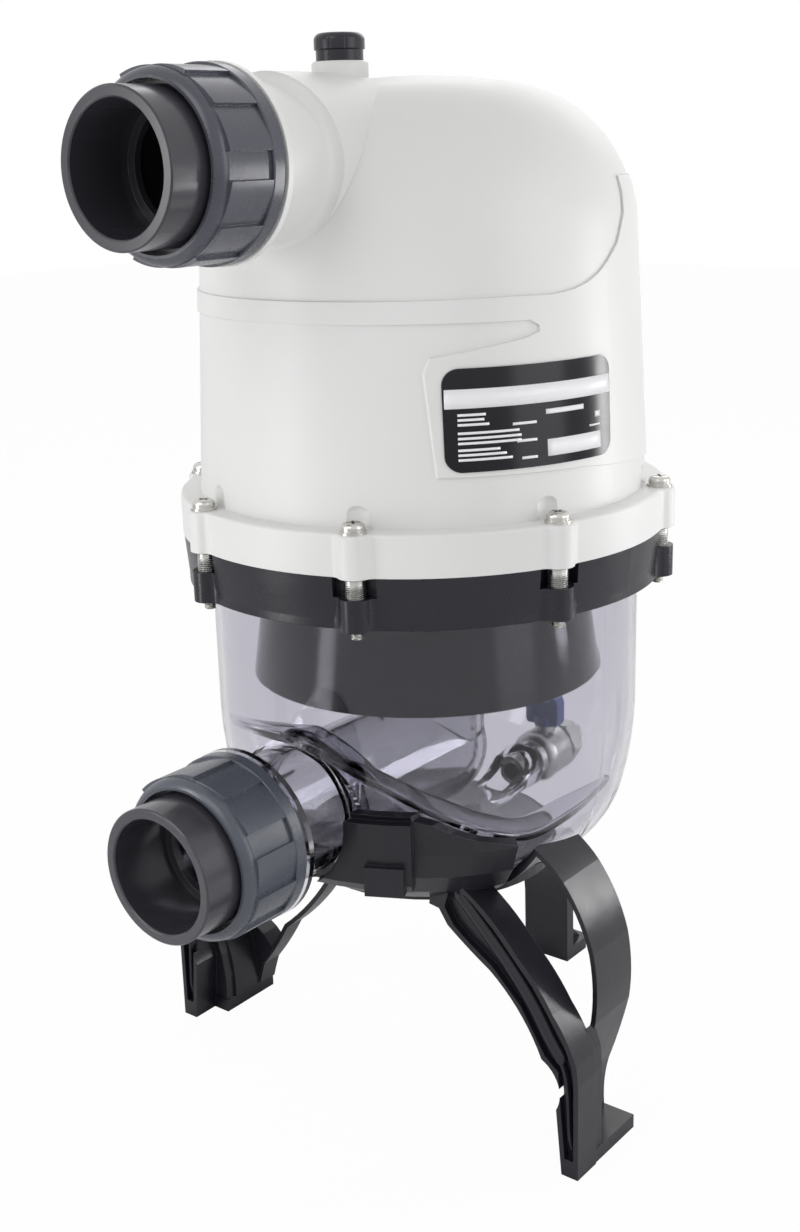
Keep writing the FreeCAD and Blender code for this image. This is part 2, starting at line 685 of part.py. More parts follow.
def make_valve_ball():
    y = VALVE_Y
    ball = Part.makeSphere(BALL_R, Vector(0, y, DRAIN_Z))
    ball = ball.cut(Part.makeCylinder(5.6, 30, Vector(-15, y, DRAIN_Z), Vector(1, 0, 0)))
    ball = ball.cut(box(-6, 6, y - 1.5, y + 1.5, DRAIN_Z + 7.0, DRAIN_Z + 12))
    return clean(ball)


def make_valve_stem():
    y = VALVE_Y
    z = DRAIN_Z
    s = z + HANDLE_SEAT
    stem = cyl(STEM_R, 0, y, z + BALL_R + 0.1, s + 7.7)
    stem = stem.fuse(box(-3.0, 3.0, y - 1.45, y + 1.45, z + 7.1, z + BALL_R + 0.2))
    stem = stem.cut(box(-5, 5, y + 2.4, y + 6, s + 1.2, s + 9)).cut(box(-5, 5, y - 6, y - 2.4, s + 1.2, s + 9))
    stem = stem.fuse(cyl(2.0, 0, y, s + 7, s + 13.7))
    return clean(stem)


def make_handle():
    y = VALVE_Y
    s = DRAIN_Z + HANDLE_SEAT
    w = HANDLE_HALF
    hub = lathe_at([(0, s), (8, s), (8, s + 6.7), (7, s + 7.7), (0, s + 7.7)], 0, y)
    pts = [Vector(1.5 - w, 0, s + 0.8), Vector(w - 1.5, 0, s + 0.8), Vector(w, 0, s + 4), Vector(w, 0, s + 17),
           Vector(w - 1.5, 0, s + 21), Vector(w - 4, 0, s + 22), Vector(5.5, 0, s + 18), Vector(-5.5, 0, s + 18),
           Vector(4 - w, 0, s + 22), Vector(1.5 - w, 0, s + 21), Vector(-w, 0, s + 17), Vector(-w, 0, s + 4)]
    wing = Part.Face(Part.makePolygon(pts + [pts[0]])).extrude(Vector(0, 10, 0))
    wing.translate(Vector(0, y - 5, 0))
    body = hub.fuse(wing)
    body = body.cut(cyl(4.4, 0, y, s + 7.7, s + 30))
    flats = box(-5, 5, y + 2.4, y + 6, s - 5, s + 12).fuse(box(-5, 5, y - 6, y - 2.4, s - 5, s + 12))
    hole = cyl(STEM_R, 0, y, s - 1, s + 8).cut(flats)
    body = body.cut(hole).cut(cyl(STEM_R, 0, y, s - 1, s + 1.2))
    return clean(body)


def make_handle_nut():
    y = VALVE_Y
    z = DRAIN_Z + HANDLE_SEAT + 7.7
    r = 7.0 / math.sqrt(3)
    pts = []
    for i in range(7):
        t = math.radians(60 * i + 30)
        pts.append(Vector(r * math.cos(t), y + r * math.sin(t), z))
    nut = Part.Face(Part.makePolygon(pts)).extrude(Vector(0, 0, 3.2))
    return clean(nut.cut(cyl(2.0, 0, y, z - 1, z + 5)))


# Stand
def flat(points, y0, y1):
    """Plate of the stand in the XZ plane between two Y positions."""
    face = face_of(points, lambda p: Vector(p[0], 0, stand_up(p[1])))
    out = face.extrude(Vector(0, y1 - y0, 0))
    out.translate(Vector(0, y0, 0))
    return out


def band_of(curve, thick, y0, y1, sign):
    """Sheet of even thickness that follows a curve in the XZ plane."""
    other = []
    n = len(curve)
    for i in range(n):
        a = curve[max(0, i - 1)]
        b = curve[min(n - 1, i + 1)]
        dx, dz = b[0] - a[0], b[1] - a[1]
        l = math.hypot(dx, dz)
        other.append((curve[i][0] + sign * thick * dz / l, curve[i][1] - sign * thick * dx / l))
    return flat([Arcs(curve), Arcs(reversed(other))], y0, y1)


FLOOR = -HUB_FLOOR - HUB_DATUM
ARM_UPPER = [(70, -209), (88.8, -221), (103.8, -233.3), (116.6, -247), (130, -261), (141, -276.5), (151, -291.5),
             (156.5, -304)]
ARM_LOWER = [(143.3, -336), (141.6, -313.5), (133.5, -307), (117.1, -280), (98.6, -262), (80, -250), (69, -242)]
ARC = [(134, FLOOR + 8), (134, -352), (137, -335), (144, -313), (150, -290), (151, -269), (148.5, -248),
       (141, -228.5), (129, -210), (120, -201.5), (110, -195)]
ARCH = [(133, FLOOR + 8), (131.5, -364), (127.5, -352), (118.5, -340), (104, -317), (85, -299), (66, -275),
        (52, -259), (36, -247)]
CRADLE_RIM = [(73, -162.6), (81, -166.2), (88, -172.4), (96.4, -178), (104.2, -181.7), (115.4, -189), (150, -196)]
CRADLE_HALF = 60
SADDLE_HALF = 33


def arm_outline():
    return [(158, FLOOR), (157.8, -316), Arcs(reversed(ARM_UPPER)), (60, -204), (56, -232), (63, -233),
            Arcs(reversed(ARM_LOWER)), (147, FLOOR)]


def make_leg():
    """One side leg: channelled front arm, rear arc, inner arch, web and pad."""
    arm = flat(arm_outline(), ARM_FRONT, ARM_BACK)
    inset = [(155, FLOOR + 11), (154.8, -316), (153.6, -305.2), (148.4, -293.2), (138.4, -278.4), (127.6, -263.2),
             (114.3, -249.2), (101.6, -235.6), (86.8, -223.4), (72, -214), (67, -231), (73, -240.5), (82, -247.4),
             (100.5, -259.3), (119.4, -277.8), (135.6, -304), (144.6, -311.4), (146.4, -336), (149, FLOOR + 11)]
    pocket = flat(inset, ARM_FRONT - 1, ARM_FRONT + 4.5)
    slit = flat([(150.4, FLOOR + 14), (149.8, -322), (151.6, -322), (152.4, FLOOR + 14)], ARM_FRONT, ARM_FRONT + 10)
    arm = arm.cut(pocket).cut(slit)
    arc = band_of(ARC, SHEET, ARC_FRONT, REAR_BACK, 1)
    arch = band_of(ARCH, SHEET, ARCH_FRONT, REAR_BACK, 1)
    web = flat([(135.5, FLOOR), (135.5, -352), (138.5, -335), (145.4, -313), (149.8, -297), (151, -290.5),
                (155.6, -303.6), (156.6, -316), (156.6, FLOOR)], ARM_BACK - 1, ARC_FRONT + 2)
    gusset = flat([(133.2, FLOOR + 9), (133, -364), (129, -353), (120, -341.5), (118, -336), (126, -328), (142.4, -318),
                   (138.5, -335), (135.5, -352), (135.5, FLOOR + 9)], ARCH_FRONT - 1, REAR_BACK - 2)
    shelf = flat([Arcs([(111.6, -194.3), (104, -201.5), (92, -213), (77, -221), (60, -229)]), (52, -238), (77, -226),
                  Arcs([(95, -217.5), (107, -205.5), (114, -195.8)])], ARC_FRONT, REAR_BACK)
    brace = flat([(56, -234.8), (76, -224), (80, -217), (78, -213), (70, -207.5), (57, -224)],
                 ARM_BACK - 1, ARC_FRONT + 3)
    pad = box(134.5, 157.4, ARM_BACK - 2, REAR_BACK, 0, PAD_T)
    leg = arm.fuse([arc, arch, web, gusset, shelf, brace, pad])
    return leg


def make_back_leg():
    """Back leg in the YZ plane with a foot and two side ribs."""
    def side(points, x0, x1):
        face = face_of(points, lambda p: Vector(x0, p[0], stand_up(p[1])))
        return face.extrude(Vector(x1 - x0, 0, 0))
    w = LEG_HALF
    plate = side([(40, -242), Arcs([(70, -247), (98, -256.5), (120, -272), (136, -292), (142.5, -316)]), (143, FLOOR),
                  (LEG_FRONT, FLOOR), Arcs([(134.5, -330), (129, -306), (116, -286), (94, -267), (66, -256)]), (40, -250)], -w, w)
    groove = side([(60, -240), (74, -251.2), (97, -260.4), (117, -275.6), (130.5, -294), (136.6, -318), (137, FLOOR + 20),
                   (160, FLOOR + 20), (160, -240)], -w + SHEET, w - SHEET)
    foot = box(-w, w, LEG_FRONT + 1, 165, 0, 9)
    edge = [e for e in foot.Edges if e.BoundBox.ZLength > 5 and e.BoundBox.YMin > 160]
    foot = foot.makeFillet(6, edge)
    heel = side([(140, -350), (143, -350), (153, -361), (160, -368.5), (140, -368.5)], -w + 5, w - 5)
    return plate.cut(groove).fuse([foot, heel])


def bowl_offset(gap):
    """Corner points of the bowl's lower outline, moved outwards by a gap."""
    return list(bowl_foot(gap, 4))


def facet_turn(points, first, last, step=6.0):
    """Solid with flat facets round the body axis; angles are counted from -Y."""
    count = int(round((last - first) / step))
    full = abs(last - first - 360) < 1e-6
    rows = []
    for i in range(count + 1):
        a = math.radians(first + (0 if full and i == count else i) * step)
        rows.append([Vector(r * math.sin(a), -r * math.cos(a), z) for r, z in points])
    faces = []
    n = len(points)
    for i in range(count):
        for k in range(n):
            quad = []
            for v in (rows[i][k], rows[i][(k + 1) % n], rows[i + 1][(k + 1) % n], rows[i + 1][k]):
                if all((v - q).Length > 1e-6 for q in quad):
                    quad.append(v)
            if len(quad) > 2:
                faces.append(Part.Face(Part.makePolygon(quad + [quad[0]])))
    if not full:
        for row in (rows[0], rows[-1]):
            faces.append(Part.Face(Part.makePolygon(row + [row[0]])))
    shell = Part.Shell(faces)
    solid = Part.Solid(shell)
    if solid.Volume < 0:
        solid.reverse()
    return solid


def hub_screw_points():
    out = []
    for a in (90, 210, 330):
        out.append((45 * math.cos(math.radians(a)), 45 * math.sin(math.radians(a))))
    return out


def make_cradle():
    """Front wall that follows the bowl, with a sloping rim, a thicker saddle and two blocks under the neck."""
    skin = bowl_offset(CRADLE_GAP + CRADLE_WALL)
    outer = [p for p in skin if p[0] > 70 and p[1] < up(-160)]
    r = skin[0][0]
    half = CRADLE_HALF
    wall = facet_turn([(60, up(-160)), (r, up(-160))] + outer + [(60, stand_up(-240.5))], -half, half)
    for side in (1, -1):
        rim = [(side * x, z) for x, z in CRADLE_RIM] + [(side * 150, -150), (side * 73, -150)]
        wall = wall.cut(flat(rim, -160, 10))
    pad = facet_turn([(118, up(-163)), (r + 5.5, up(-163)), (r + 5.5, up(-199)), (r, up(-205)), (116, up(-210))],
                     -SADDLE_HALF, SADDLE_HALF)
    block = box(-11, 11, -r - 9.5, -120, up(-204), up(-187))
    return wall.fuse([pad, turned(block, 27), turned(block, -27)])


def make_stand():
    top, low = HUB_FLOOR + 12, HUB_FLOOR - 8
    hub = facet_turn([(20, top), (80, top), (80, HUB_FLOOR), (66, HUB_FLOOR - 5.5), (50, low), (20, low)], 0, 360)
    middle = cyl(30, 0, 0, low, top)
    body = make_cradle().fuse([hub, middle]).removeSplitter()
    leg = make_leg()
    body = body.fuse([leg, mirrored(leg), make_back_leg()])
    near = [p for p in bowl_offset(CRADLE_GAP) if p[0] > 68]
    drain = drain_cyl(18, 60, DRAIN_BOSS_END + 1)
    hollow = facet_turn([(30, up(-100)), (BOWL_R + CRADLE_GAP, up(-100))] + near + [(64, HUB_FLOOR), (30, HUB_FLOOR)],
                        0, 360)
    body = body.cut(hollow.fuse(cyl(40, 0, 0, HUB_FLOOR, up(-100)))).cut(drain)
    s = SADDLE_R
    z = LOWER_PORT_Z - stand_up(0)
    saddle = flat([(-s, z), Arcs([(-s, z), (0, z - s), (s, z)]), (s, z + 48.3), (-s, z + 48.3)], -BOWL_R - 32.3, -60)
    body = body.cut(saddle)
    for x, y in hub_screw_points():
        body = body.fuse(cyl(8.5, x, y, HUB_FLOOR - 10, HUB_FLOOR - 6))
    for x, y in hub_screw_points():
        body = body.cut(cyl(6.8, x, y, POST_SEAT, top))
        body = body.cut(cyl(2.8, x, y, HUB_FLOOR - 23, top))
        body = body.cut(cyl(5.4, x, y, HUB_FLOOR - 33, HUB_FLOOR - 6.6))
    return body


def make_stand_screws():
    out = []
    for x, y in hub_screw_points():
        s = pan_screw(2.5, 4.6, 3.2, 0, -11.5, 0, 0, 30)
        s.rotate(Vector(0, 0, 0), Vector(1, 0, 0), 180)
        s.translate(Vector(x, y, HUB_FLOOR - 6.6))
        out.append(s)
    return Part.makeCompound(out)


save("head", make_head())
save("label_plate", make_label())
save("bleed_plug", make_bleed_plug())
save("bleed_seal", make_bleed_seal())
save("clamp_ring", make_clamp_ring())
save("clamp_screws", make_clamp_screws())
save("clamp_washers", make_clamp_washers())
save("clamp_inserts", around(insert_shape(SCREW_R + FIT)))
save("head_seal", make_head_seal())
save("bowl_seal", make_bowl_seal())
save("bowl", make_bowl())
save("inlet_elbow", make_elbow())
save("skirt", make_skirt())
save("cyclone_block", make_block())
save("vortex_plate", make_vortex_plate())
save("plate_screws", make_plate_screws())
save("upper_union_nut", make_nut(UPPER_PORT_Z, UPPER_MOUTH, 0.0))
save("upper_union_tail", make_tail(UPPER_PORT_Z, UPPER_MOUTH))
save("upper_union_seal", make_union_seal(UPPER_PORT_Z, UPPER_MOUTH))
save("lower_union_nut", make_nut(LOWER_PORT_Z, LOWER_MOUTH, 22.5))
save("lower_union_tail", make_tail(LOWER_PORT_Z, LOWER_MOUTH))
save("lower_union_seal", make_union_seal(LOWER_PORT_Z, LOWER_MOUTH))
save("drain_nipple", make_nipple())
save("valve_body", make_valve_body())
save("valve_end", make_valve_end())
save("valve_seats", make_valve_seats())
save("valve_ball", make_valve_ball())
save("valve_stem", make_valve_stem())
save("valve_handle", make_handle())
save("handle_nut", make_handle_nut())
save("stand", make_stand())
save("stand_screws", make_stand_screws())
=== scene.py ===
import bpy
import bmesh
import math
from mathutils import Matrix, Vector


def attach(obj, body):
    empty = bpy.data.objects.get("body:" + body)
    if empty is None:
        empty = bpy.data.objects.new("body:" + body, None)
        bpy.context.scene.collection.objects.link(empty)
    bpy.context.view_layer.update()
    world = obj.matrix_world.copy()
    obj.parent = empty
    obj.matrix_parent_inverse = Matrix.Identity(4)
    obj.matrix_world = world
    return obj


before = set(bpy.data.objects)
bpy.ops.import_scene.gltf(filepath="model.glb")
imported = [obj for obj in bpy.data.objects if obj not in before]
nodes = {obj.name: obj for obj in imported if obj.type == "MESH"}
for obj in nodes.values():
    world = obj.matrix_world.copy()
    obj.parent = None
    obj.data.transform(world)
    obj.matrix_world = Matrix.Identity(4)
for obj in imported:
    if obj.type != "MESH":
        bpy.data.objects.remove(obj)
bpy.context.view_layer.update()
scene = bpy.context.scene
scene.view_settings.view_transform = "Standard"

# Height of the joint between head and ring, in metres; the pieces' heights are given from it
FLANGE = 0.377


# Nodes
def feed(nt, socket, value):
    """Links an output to the socket, or sets the socket to a plain value."""
    if isinstance(value, bpy.types.NodeSocket):
        nt.links.new(value, socket)
    else:
        socket.default_value = value


def calc(nt, operation, first, second=None, clamp=False):
    node = nt.nodes.new("ShaderNodeMath")
    node.operation = operation
    node.use_clamp = clamp
    feed(nt, node.inputs[0], first)
    if second is not None:
        feed(nt, node.inputs[1], second)
    return node.outputs[0]


def vector_calc(nt, operation, first, second=None):
    node = nt.nodes.new("ShaderNodeVectorMath")
    node.operation = operation
    feed(nt, node.inputs[0], first)
    if second is not None:
        feed(nt, node.inputs[1], second)
    is_number = operation in ("LENGTH", "DOT_PRODUCT")
    return node.outputs["Value" if is_number else "Vector"]


def along(nt, vector, axis):
    """One coordinate of a vector."""
    node = nt.nodes.new("ShaderNodeSeparateXYZ")
    nt.links.new(vector, node.inputs["Vector"])
    return node.outputs[axis]


def ramp(nt, source, stops):
    node = nt.nodes.new("ShaderNodeValToRGB")
    for element, (pos, colour) in zip(node.color_ramp.elements, stops):
        element.position = pos
        element.color = (*colour, 1.0)
    nt.links.new(source, node.inputs["Fac"])
    return node.outputs["Color"]


def noise(nt, coord, scale, detail, rough):
    node = nt.nodes.new("ShaderNodeTexNoise")
    node.inputs["Scale"].default_value = scale
    node.inputs["Detail"].default_value = detail
    node.inputs["Roughness"].default_value = rough
    nt.links.new(coord, node.inputs["Vector"])
    return node.outputs["Fac"]


def spread(nt, source, low, high):
    node = nt.nodes.new("ShaderNodeMapRange")
    node.inputs["To Min"].default_value = low
    node.inputs["To Max"].default_value = high
    nt.links.new(source, node.inputs["Value"])
    return node.outputs["Result"]


def bump(nt, bsdf, heights, edge=0.0):
    """Chain of bumps; each is (height, distance in metres, strength). Edge rounds sharp corners."""
    normal = None
    if edge:
        soft = nt.nodes.new("ShaderNodeBevel")
        soft.samples = 6
        soft.inputs["Radius"].default_value = edge
        normal = soft.outputs["Normal"]
    for height, distance, strength in heights:
        node = nt.nodes.new("ShaderNodeBump")
        node.inputs["Distance"].default_value = distance
        node.inputs["Strength"].default_value = strength
        nt.links.new(height, node.inputs["Height"])
        if normal:
            nt.links.new(normal, node.inputs["Normal"])
        normal = node.outputs["Normal"]
    nt.links.new(normal, bsdf.inputs["Normal"])


def base_material(name):
    m = bpy.data.materials.new(name)
    m.use_nodes = True
    nt = m.node_tree
    bsdf = nt.nodes["Principled BSDF"]
    coord = nt.nodes.new("ShaderNodeTexCoord").outputs["Object"]
    return m, nt, bsdf, coord


# Materials; a grain or wave is (noise scale, depth in metres), a rough pair is the range of roughness
TONE_STOPS = (0.3, 0.7)
ROUNDED_EDGE = 0.0005


def plastic(name, dark, light, rough, grain=(900.0, 0.00003), wave=(14.0, 0.0004), spec=0.5,
            edge=ROUNDED_EDGE):
    """Moulded plastic: a slow change of tone, a fine grain and slightly uneven gloss."""
    m, nt, bsdf, coord = base_material(name)
    tone = noise(nt, coord, scale=7.0, detail=4.0, rough=0.55)
    colour = ramp(nt, tone, list(zip(TONE_STOPS, (dark, light))))
    nt.links.new(colour, bsdf.inputs["Base Color"])
    fine = noise(nt, coord, scale=grain[0], detail=2.0, rough=0.6)
    broad = noise(nt, coord, scale=wave[0], detail=2.0, rough=0.5)
    gloss = noise(nt, coord, scale=60.0, detail=5.0, rough=0.65)
    nt.links.new(spread(nt, gloss, *rough), bsdf.inputs["Roughness"])
    bump(nt, bsdf, [(broad, wave[1], 0.5), (fine, grain[1], 0.6)], edge)
    bsdf.inputs["Specular IOR Level"].default_value = spec
    return m


# The upper port: its bore's axis runs along Y at this height; metres
PORT_AXIS = (0.0, 0.0, FLANGE + 0.1839)
PORT_REACH = 0.0318
PORT_BACK = -0.05


def in_bore(nt, place):
    """One inside the upper port's bore, nought elsewhere."""
    off_axis = vector_calc(nt, "SUBTRACT", place, PORT_AXIS)
    across = vector_calc(nt, "MULTIPLY", off_axis, (1.0, 0.0, 1.0))
    near = calc(nt, "LESS_THAN", vector_calc(nt, "LENGTH", across), PORT_REACH)
    front = calc(nt, "LESS_THAN", along(nt, place, "Y"), PORT_BACK)
    return calc(nt, "MULTIPLY", near, front)


# The head's hollow, where shade is painted: faces nearer to the Z axis than this that look towards
# the middle are inside
HOLLOW_REACH = 0.1262
HOLLOW_MIDDLE = (0.0, 0.0, 0.47)
HOLLOW_FACING = -0.5
# Near-black painted shade for the inside of the head and of its port's bore
PAINTED_SHADE_TONE = (0.025, 0.025, 0.027, 1.0)


def paint_shade_inside(m):
    """Paints shade on the inside of the head and of its port: their colour is dulled nearly to black.
    """
    nt = m.node_tree
    base = nt.nodes["Principled BSDF"].inputs["Base Color"]
    before = base.links[0].from_socket
    coord = nt.nodes.new("ShaderNodeTexCoord")
    place = coord.outputs["Object"]
    away = vector_calc(nt, "SUBTRACT", place, HOLLOW_MIDDLE)
    outward = vector_calc(nt, "NORMALIZE", away)
    dot = vector_calc(nt, "DOT_PRODUCT", outward, coord.outputs["Normal"])
    facing = calc(nt, "LESS_THAN", dot, HOLLOW_FACING)
    level = vector_calc(nt, "MULTIPLY", place, (1.0, 1.0, 0.0))
    near = calc(nt, "LESS_THAN", vector_calc(nt, "LENGTH", level), HOLLOW_REACH)
    hollow = calc(nt, "MULTIPLY", facing, near)
    inner = calc(nt, "MAXIMUM", hollow, in_bore(nt, place))
    # Painted shade: the inside faces take the near-black tone in place of their own colour
    mix = nt.nodes.new("ShaderNodeMix")
    mix.data_type = "RGBA"
    factor, first, second = mix.inputs[0], mix.inputs[6], mix.inputs[7]
    nt.links.new(inner, factor)
    nt.links.new(before, first)
    second.default_value = PAINTED_SHADE_TONE
    nt.links.new(mix.outputs[2], base)


CLEAR_IOR = 1.49
CLEAR_GLINT = (0.62, 0.62, 0.64, 1.0)


def clear(name, tint, rough):
    """Clear moulded plastic with faint flow waves."""
    m, nt, bsdf, coord = base_material(name)
    stretched = nt.nodes.new("ShaderNodeMapping")
    stretched.inputs["Scale"].default_value = (1.0, 1.0, 0.35)
    nt.links.new(coord, stretched.inputs["Vector"])
    flow = noise(nt, stretched.outputs["Vector"], scale=9.0, detail=2.0, rough=0.4)
    paler = tuple(min(1.0, c * 1.05) for c in tint)
    colour = ramp(nt, flow, [(0.25, tint), (0.75, paler)])
    nt.links.new(colour, bsdf.inputs["Base Color"])
    haze = noise(nt, coord, scale=40.0, detail=4.0, rough=0.6)
    nt.links.new(spread(nt, haze, *rough), bsdf.inputs["Roughness"])
    bump(nt, bsdf, [(flow, 0.0012, 0.35)])
    bsdf.inputs["Transmission Weight"].default_value = 1.0
    bsdf.inputs["IOR"].default_value = CLEAR_IOR
    bsdf.inputs["Specular Tint"].default_value = CLEAR_GLINT
    return m


def metal(name, dark, light, rough, thread=None):
    """Metal with a fine grain; thread is (pitch, lowest, highest) of turns round Z, in metres."""
    m, nt, bsdf, coord = base_material(name)
    tone = noise(nt, coord, scale=90.0, detail=4.0, rough=0.6)
    colour = ramp(nt, tone, list(zip(TONE_STOPS, (dark, light))))
    nt.links.new(colour, bsdf.inputs["Base Color"])
    bsdf.inputs["Metallic"].default_value = 1.0
    nt.links.new(spread(nt, tone, *rough), bsdf.inputs["Roughness"])
    fine = noise(nt, coord, scale=1500.0, detail=2.0, rough=0.6)
    heights = [(fine, 0.00002, 0.4)]
    if thread:
        pitch, lowest, highest = thread
        height = along(nt, coord, "Z")
        turns = calc(nt, "SINE", calc(nt, "MULTIPLY", height, 2 * math.pi / pitch))
        fade = nt.nodes.new("ShaderNodeMapRange")
        fade.inputs["From Min"].default_value = highest
        fade.inputs["From Max"].default_value = lowest
        nt.links.new(height, fade.inputs["Value"])
        cut = calc(nt, "MULTIPLY", turns, fade.outputs["Result"])
        heights.append((cut, pitch * 0.3, 1.0))
    bump(nt, bsdf, heights)
    return m


white = plastic("head_plastic", (0.735, 0.735, 0.72), (0.775, 0.775, 0.765), (0.36, 0.5),
                grain=(650.0, 0.00004), wave=(11.0, 0.0008))
paint_shade_inside(white)
ring_black = plastic("ring_plastic", (0.008, 0.0075, 0.013), (0.014, 0.013, 0.021), (0.20, 0.36),
                     grain=(500.0, 0.00006), wave=(40.0, 0.0006), spec=0.42)
skirt_black = plastic("skirt_plastic", (0.004, 0.004, 0.007), (0.008, 0.008, 0.013), (0.10, 0.18),
                      grain=(700.0, 0.00002), wave=(18.0, 0.0006))
stand_black = plastic("stand_plastic", (0.008, 0.0073, 0.012), (0.015, 0.014, 0.021),
                      (0.22, 0.38), grain=(420.0, 0.00006), wave=(26.0, 0.0009), spec=0.42)
seal_black = plastic("seal_rubber", (0.012, 0.012, 0.012), (0.02, 0.02, 0.02), (0.55, 0.7),
                     grain=(500.0, 0.00004), wave=(50.0, 0.0001))
inner_dark = plastic("inner_plastic", (0.05, 0.05, 0.055), (0.07, 0.07, 0.077), (0.3, 0.45))
slate = plastic("union_nut_slate", (0.058, 0.060, 0.078), (0.075, 0.078, 0.100), (0.20, 0.34),
                grain=(520.0, 0.00004), wave=(40.0, 0.0003))
blue_grey = plastic("union_nut_blue_grey", (0.060, 0.068, 0.086), (0.080, 0.088, 0.112),
                    (0.20, 0.34), grain=(520.0, 0.00004), wave=(40.0, 0.0003))
charcoal = plastic("socket_charcoal", (0.036, 0.034, 0.042), (0.050, 0.048, 0.058), (0.14, 0.26),
                   grain=(800.0, 0.00002), wave=(30.0, 0.0002))
label_black = plastic("label_field", (0.006, 0.005, 0.008), (0.010, 0.009, 0.013), (0.14, 0.22),
                      grain=(900.0, 0.00001), wave=(30.0, 0.0001), spec=0.3, edge=0.0)
handle_blue = plastic("handle_blue", (0.02, 0.05, 0.22), (0.03, 0.065, 0.27), (0.25, 0.4))
seat_white = plastic("valve_seat", (0.72, 0.72, 0.70), (0.8, 0.8, 0.78), (0.3, 0.45))
bowl_clear = clear("bowl_plastic", (0.68, 0.675, 0.72), (0.012, 0.05))
elbow_clear = clear("elbow_plastic", (0.66, 0.66, 0.69), (0.02, 0.07))
steel = metal("screw_steel", (0.52, 0.51, 0.48), (0.66, 0.65, 0.62), (0.2, 0.36),
              thread=(0.001, FLANGE - 0.049, FLANGE - 0.004))
sleeve_steel = metal("sleeve_steel", (0.50, 0.50, 0.48), (0.62, 0.62, 0.6), (0.22, 0.34),
                     thread=(0.0011, FLANGE - 0.030, FLANGE - 0.026))
nickel = metal("valve_nickel", (0.42, 0.42, 0.40), (0.56, 0.56, 0.54), (0.22, 0.4))
chrome = metal("ball_chrome", (0.6, 0.6, 0.6), (0.7, 0.7, 0.7), (0.08, 0.16))
ink = plastic("label_ink", (0.84, 0.84, 0.86), (0.90, 0.90, 0.91), (0.2, 0.3),
              grain=(900.0, 0.00001), wave=(30.0, 0.00005), edge=0.0)
screw_end_steel = metal("screw_end_steel", (0.50, 0.49, 0.46), (0.64, 0.63, 0.60), (0.22, 0.36))

FINISH = {
    "head": white, "label_plate": label_black, "bleed_plug": ring_black, "bleed_seal": seal_black,
    "clamp_ring": ring_black, "clamp_screws": steel, "clamp_washers": steel,
    "clamp_inserts": sleeve_steel, "head_seal": seal_black, "bowl_seal": seal_black,
    "bowl": bowl_clear, "inlet_elbow": elbow_clear, "skirt": skirt_black,
    "cyclone_block": inner_dark, "vortex_plate": inner_dark, "plate_screws": steel,
    "upper_union_nut": slate, "upper_union_tail": charcoal, "upper_union_seal": seal_black,
    "lower_union_nut": blue_grey, "lower_union_tail": charcoal, "lower_union_seal": seal_black,
    "drain_nipple": nickel, "valve_body": nickel, "valve_end": nickel, "valve_seats": seat_white,
    "valve_ball": chrome, "valve_stem": nickel, "valve_handle": handle_blue, "handle_nut": steel,
    "stand": stand_black, "stand_screws": steel,
}
for name, obj in nodes.items():
    obj.data.materials.clear()
    obj.data.materials.append(FINISH[name])


# Meshes; shapes are written in millimetres and made in metres
def add_object(name, bm, mat):
    """Object in the scene from a finished mesh."""
    me = bpy.data.meshes.new(name)
    bm.to_mesh(me)
    bm.free()
    me.materials.append(mat)
    ob = bpy.data.objects.new(name, me)
    scene.collection.objects.link(ob)
    return ob


def loft(bm, loops, smooth_sides):
    """Closed tube through loops of points, capped at both ends; its first sides are shaded smooth."""
    last = None
    for points in loops:
        loop = [bm.verts.new(p) for p in points]
        count = len(loop)
        if last:
            for k in range(count):
                n = (k + 1) % count
                face = bm.faces.new((last[k], last[n], loop[n], loop[k]))
                face.smooth = k < smooth_sides
        else:
            bm.faces.new(loop)
        last = loop
    bm.faces.new(list(reversed(last)))


def smooth_path(points, parts):
    """Smooth curve through the points, with each gap between two of them cut in parts."""
    out = []
    end = len(points) - 1
    for i in range(end):
        near = [points[max(0, min(end, k))] for k in (i - 1, i, i + 1, i + 2)]
        for j in range(parts):
            t = j / parts
            row = []
            for a, b, c, d in zip(*near):
                row.append(0.5 * (2 * b + (c - a) * t + (2 * a - 5 * b + 4 * c - d) * t * t
                                  + (3 * b - a - 3 * c + d) * t ** 3))
            out.append(row)
    out.append(list(points[-1]))
    return out


# Printing on the label plate: plain bars and fields, no words
# The plate is a cone that leans in by the lean over the lean height; millimetres
LABEL_AZ = math.radians(65.5)
LABEL_R = 133.4
LABEL_LEAN = 7.2
LABEL_LEAN_HEIGHT = 135.0
LABEL_BEND_R = 131.0
PRINT_LIFT = 0.12
PRINT_STEP = 3.0
# In metres
PRINT_THICK = 0.00006
# A field is left, right, bottom and top, in millimetres round from the plate's middle and up
BAND = (-50.8, 50.8, 61.8, 71.6)
BOX = (4.5, 42.0, 33.6, 42.5)
BARS_LEFT = -44.5
BAR_HALF = 0.65
# Long bars are height and length, short bars are left, right and height
LONG_BARS = [(58.5, 14.4), (56.0, 13.5), (53.5, 16), (49.2, 32.4), (46.5, 33.5), (44.0, 33.5),
             (40.5, 21.6), (38.0, 25), (35.5, 28.3)]
SHORT_BARS = [(-15.8, -1.8, 52.3), (-13.6, -1.8, 43.3), (-11.0, -1.8, 34.3)]
SHORT_BAR_HALF = 0.7
SMALL_FIELDS = [(4.0, 29.5, 55.6, 58.2), (38.0, 42.0, 50.2, 53.2), (33.5, 42.0, 45.6, 46.6)]


def on_label(u, v):
    """Point over the plate; u is millimetres round from its middle, v millimetres over the flange."""
    a = LABEL_AZ + math.asin(u / LABEL_BEND_R)
    r = LABEL_R - LABEL_LEAN * v / LABEL_LEAN_HEIGHT
    r += PRINT_LIFT
    return Vector((r * math.sin(a) / 1000, -r * math.cos(a) / 1000, FLANGE + v / 1000))


